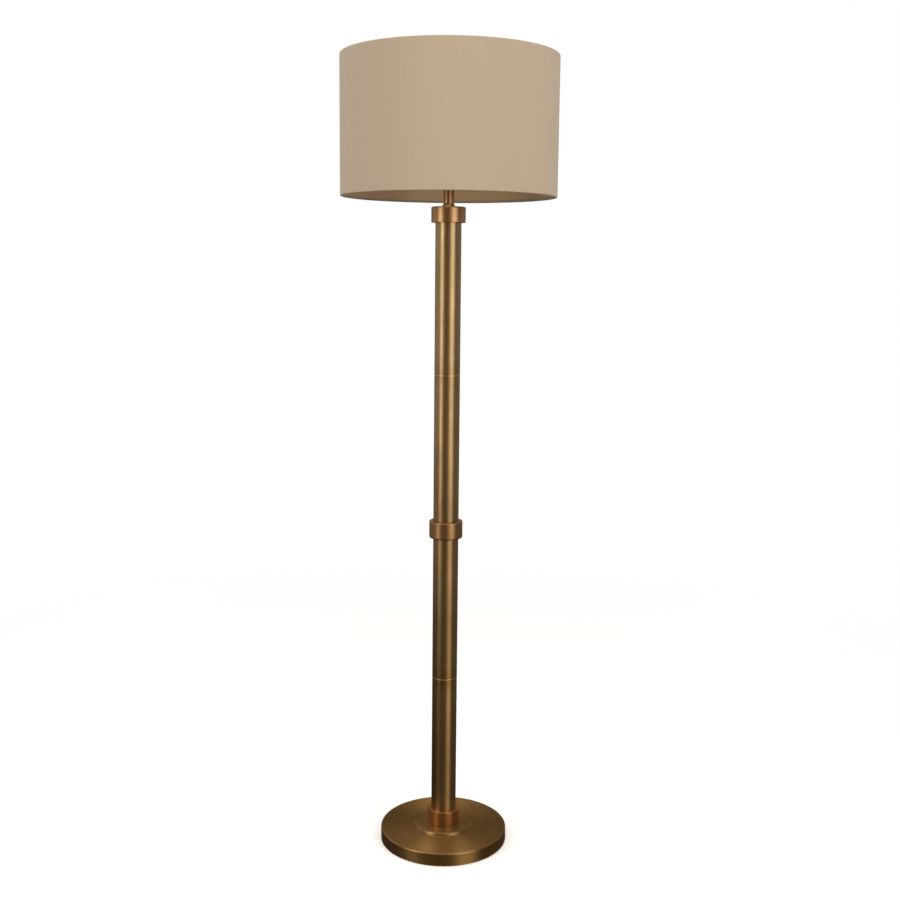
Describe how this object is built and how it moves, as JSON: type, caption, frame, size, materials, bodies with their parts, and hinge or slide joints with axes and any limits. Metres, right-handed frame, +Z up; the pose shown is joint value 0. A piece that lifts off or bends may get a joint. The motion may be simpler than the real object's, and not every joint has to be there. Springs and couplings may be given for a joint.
{
  "type": "floor lamp",
  "caption": "Straight column floor lamp in antique brass with a round stepped base, collars and a plain drum shade on a harp.",
  "frame": {"origin": "on the floor, under the middle of the base", "axes": "+Z up along the column, -Y towards the front, where the switch knob is; +Y towards the cord bushing"},
  "size_m": [0.4183, 0.4184, 1.575],
  "materials": {
    "antique_brass": "satin",
    "warm_brass": "satin",
    "bright_brass": "polished",
    "zinc_steel": "satin",
    "nickel": "satin",
    "cast_iron": "matte",
    "felt": "matte",
    "bushing_plastic": "matte",
    "phenolic": "gloss",
    "knob_plastic": "satin",
    "sleeve_board": "matte",
    "frosted_glass": "satin",
    "white_wire": "satin",
    "liner_plastic": "matte",
    "shade_cloth": "matte"
  },
  "bodies": {
    "stand": {"felt_pad": "felt", "base_weight": "cast_iron", "base_cover": "antique_brass", "base_nipple": "zinc_steel", "base_washer": "zinc_steel", "base_lock_washer": "zinc_steel", "base_nut": "zinc_steel", "cord_bushing": "bushing_plastic", "bottom_collar": "warm_brass", "tube_1": "antique_brass", "tube_2": "antique_brass", "tube_3": "antique_brass", "tube_4": "antique_brass", "foot_plug_1": "zinc_steel", "foot_plug_2": "zinc_steel", "foot_plug_3": "zinc_steel", "foot_plug_4": "zinc_steel", "head_plug_1": "zinc_steel", "head_plug_2": "zinc_steel", "head_plug_3": "zinc_steel", "head_plug_4": "zinc_steel", "joint_nipple_1": "zinc_steel", "joint_nipple_2": "zinc_steel", "joint_nipple_3": "zinc_steel", "mid_collar": "warm_brass", "top_collar": "warm_brass", "set_screws": "zinc_steel", "neck": "warm_brass", "neck_nipple": "zinc_steel", "harp_saddle": "bright_brass", "harp": "bright_brass", "socket_cap": "bright_brass", "socket_shell": "bright_brass", "socket_sleeve": "sleeve_board", "switch_body": "phenolic", "terminal_screws": "bright_brass", "screw_shell": "bright_brass", "centre_contact": "bright_brass"},
    "switch": {"switch_stem": "bright_brass", "switch_knob": "knob_plastic"},
    "bulb": {"bulb_glass": "frosted_glass", "bulb_cap": "nickel", "bulb_insulator": "phenolic", "bulb_contact": "nickel"},
    "ferrule_left": {"ferrule_left": "bright_brass"},
    "ferrule_right": {"ferrule_right": "bright_brass"},
    "shade": {"harp_stud": "bright_brass", "shade_spider": "bright_brass", "shade_top_ring": "white_wire", "shade_bottom_ring": "white_wire", "shade_liner": "liner_plastic", "shade_cloth": "shade_cloth"},
    "finial": {"finial": "warm_brass"}
  },
  "joints": [
    {"name": "switch_turn", "type": "hinge", "parent": "stand", "child": "switch", "pos_m": [0, -0.03, 1.365], "axis": [0, -1, 0], "continuous": true},
    {"name": "bulb_turn", "type": "hinge", "parent": "stand", "child": "bulb", "pos_m": [0, 0, 1.4], "axis": [0, 0, 1], "continuous": true},
    {"name": "ferrule_left_slide", "type": "slide", "parent": "stand", "child": "ferrule_left", "axis": [0, 0, 1], "range_m": [0, 0.014]},
    {"name": "ferrule_right_slide", "type": "slide", "parent": "stand", "child": "ferrule_right", "axis": [0, 0, 1], "range_m": [0, 0.014]},
    {"name": "shade_turn", "type": "hinge", "parent": "stand", "child": "shade", "pos_m": [0, 0, 1.556], "axis": [0, 0, 1], "continuous": true},
    {"name": "finial_turn", "type": "hinge", "parent": "shade", "child": "finial", "pos_m": [0, 0, 1.565], "axis": [0, 0, 1], "continuous": true}
  ]
}
